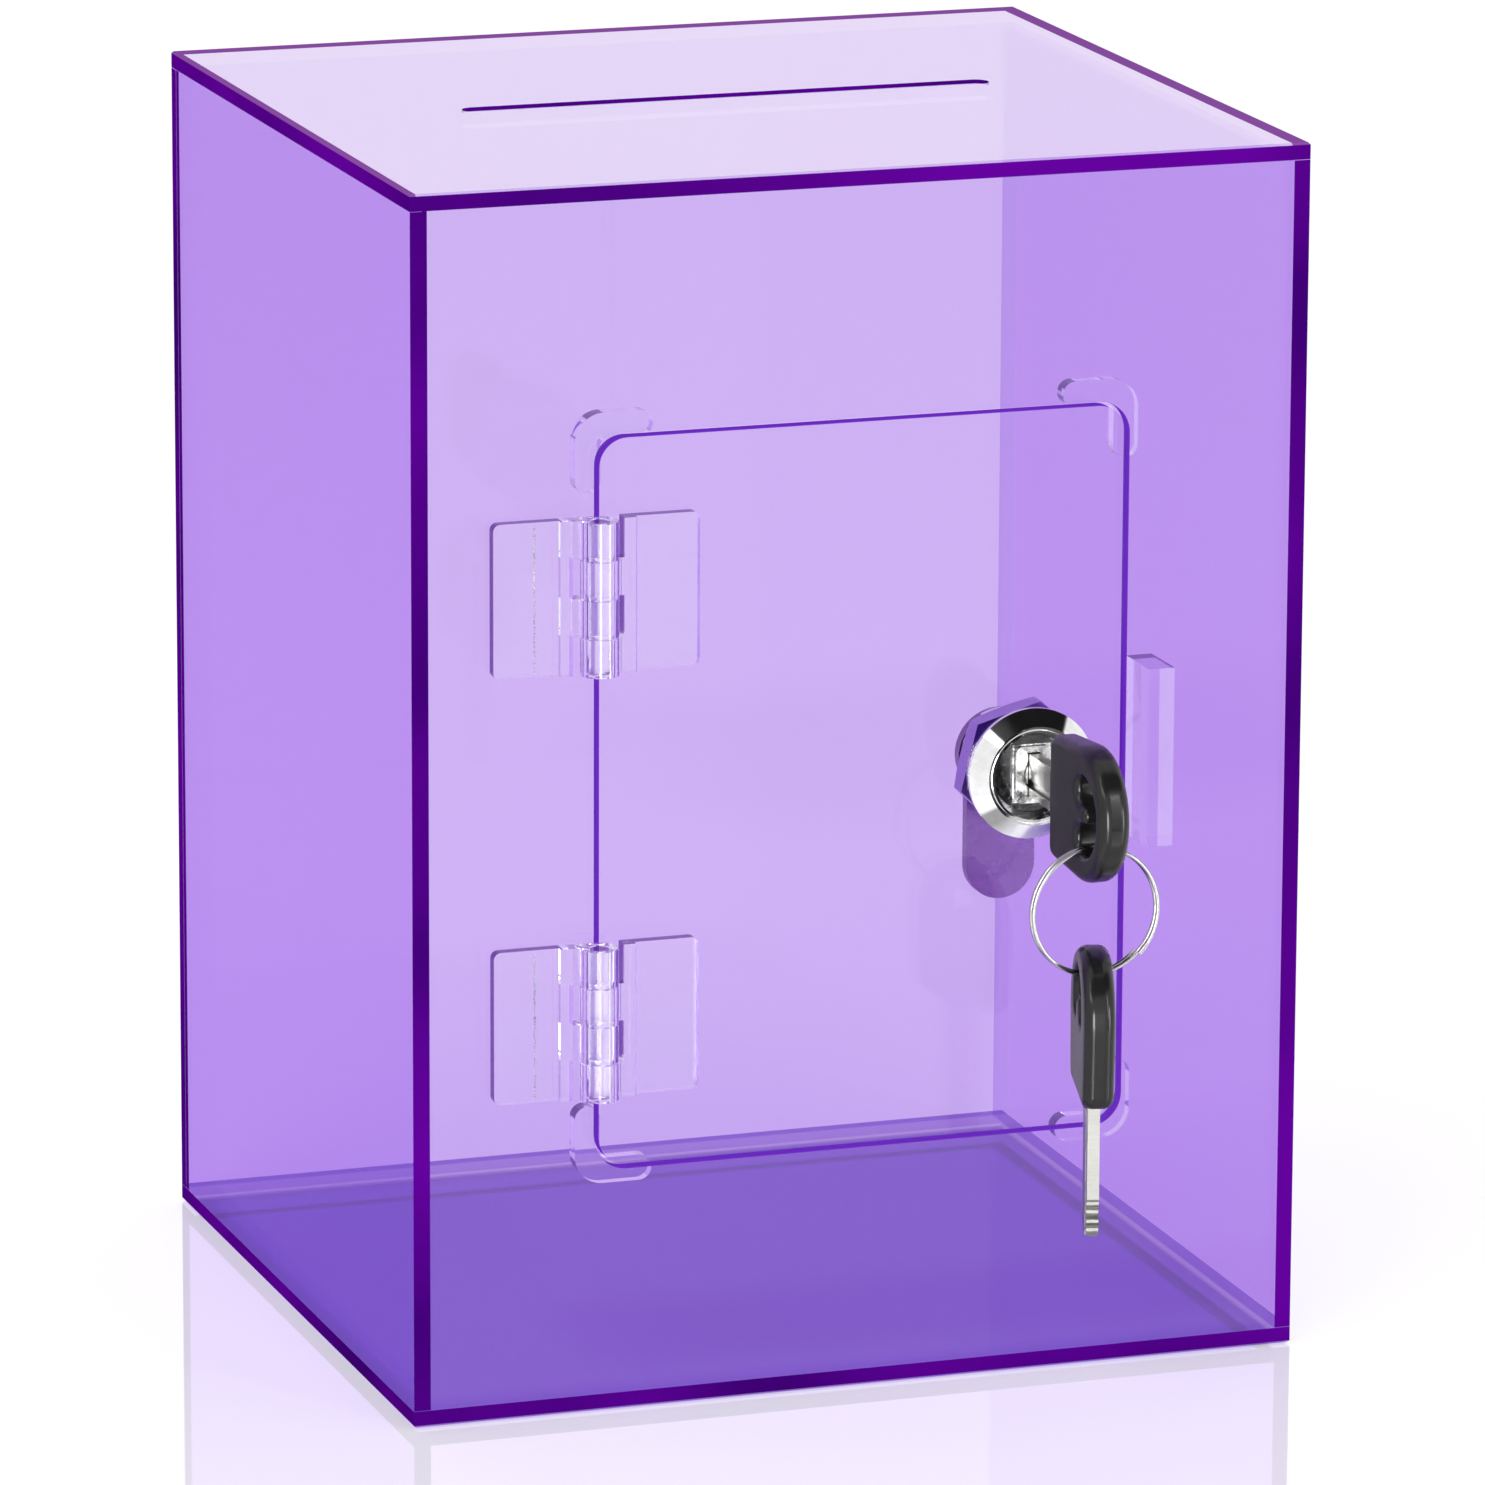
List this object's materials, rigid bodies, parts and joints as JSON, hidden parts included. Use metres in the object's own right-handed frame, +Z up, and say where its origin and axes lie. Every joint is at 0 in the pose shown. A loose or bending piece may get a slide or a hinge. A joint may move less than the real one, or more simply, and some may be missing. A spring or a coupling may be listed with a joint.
{
  "type": "donation box",
  "caption": "Upright collection box of tinted clear acrylic with a money slot in the top and a hinged front door held by a key-operated cam lock.",
  "frame": {"origin": "centre of the base panel's underside", "axes": "+Z up, the door faces -Y, +X to the right seen from the front"},
  "size_m": [0.154, 0.1813, 0.205],
  "materials": {
    "tinted_acrylic": "polished, see-through, violet tint, darker at the cut edges",
    "clear_acrylic": "polished, colourless",
    "clear_plastic": "moulded, colourless",
    "chromed_zinc": "mirror bright",
    "plated_steel": "plain plating",
    "nickel_steel": "bright nickel",
    "black_plastic": "glossy moulded"
  },
  "bodies": {
    "box": {"base_panel": "tinted_acrylic", "top_panel": "tinted_acrylic", "left_side_panel": "tinted_acrylic", "right_side_panel": "tinted_acrylic", "back_panel": "tinted_acrylic", "front_panel": "tinted_acrylic", "catch_block": "clear_acrylic", "upper_left_stop": "clear_acrylic", "upper_right_stop": "clear_acrylic", "lower_left_stop": "clear_acrylic", "lower_right_stop": "clear_acrylic", "upper_hinge_frame_leaf": "clear_plastic", "upper_hinge_pin": "clear_plastic", "lower_hinge_frame_leaf": "clear_plastic", "lower_hinge_pin": "clear_plastic"},
    "door": {"door_panel": "tinted_acrylic", "upper_hinge_door_leaf": "clear_plastic", "lower_hinge_door_leaf": "clear_plastic", "lock_housing": "chromed_zinc", "lock_nut": "plated_steel"},
    "plug": {"lock_plug": "plated_steel", "lock_wafers": "plated_steel", "stop_washer": "plated_steel", "lock_cam": "plated_steel", "cam_washer": "plated_steel", "cam_screw": "plated_steel"},
    "key": {"key_blade": "nickel_steel", "key_bow": "black_plastic"},
    "ring": {"split_ring": "nickel_steel"},
    "spare_key": {"spare_key_blade": "nickel_steel", "spare_key_bow": "black_plastic"}
  },
  "joints": [
    {"name": "door_swing", "type": "hinge", "parent": "box", "child": "door", "pos_m": [-0.04635, -0.07345, 0.1025], "axis": [0, 0, -1], "range_deg": [0, 175]},
    {"name": "plug_turn", "type": "hinge", "parent": "door", "child": "plug", "pos_m": [0.0293, -0.07, 0.1025], "axis": [0, -1, 0], "range_deg": [0, 90]},
    {"name": "key_pull", "type": "slide", "parent": "plug", "child": "key", "axis": [0, -1, 0], "range_m": [0, 0.018]},
    {"name": "ring_hang", "type": "hinge", "parent": "key", "child": "ring", "pos_m": [0.0293, -0.10015, 0.09335], "axis": [0, -1, 0], "range_deg": [-60, 60]},
    {"name": "spare_swing", "type": "hinge", "parent": "ring", "child": "spare_key", "pos_m": [0.0293, -0.10015, 0.07585], "axis": [1, 0, 0], "range_deg": [-30, 30]}
  ]
}
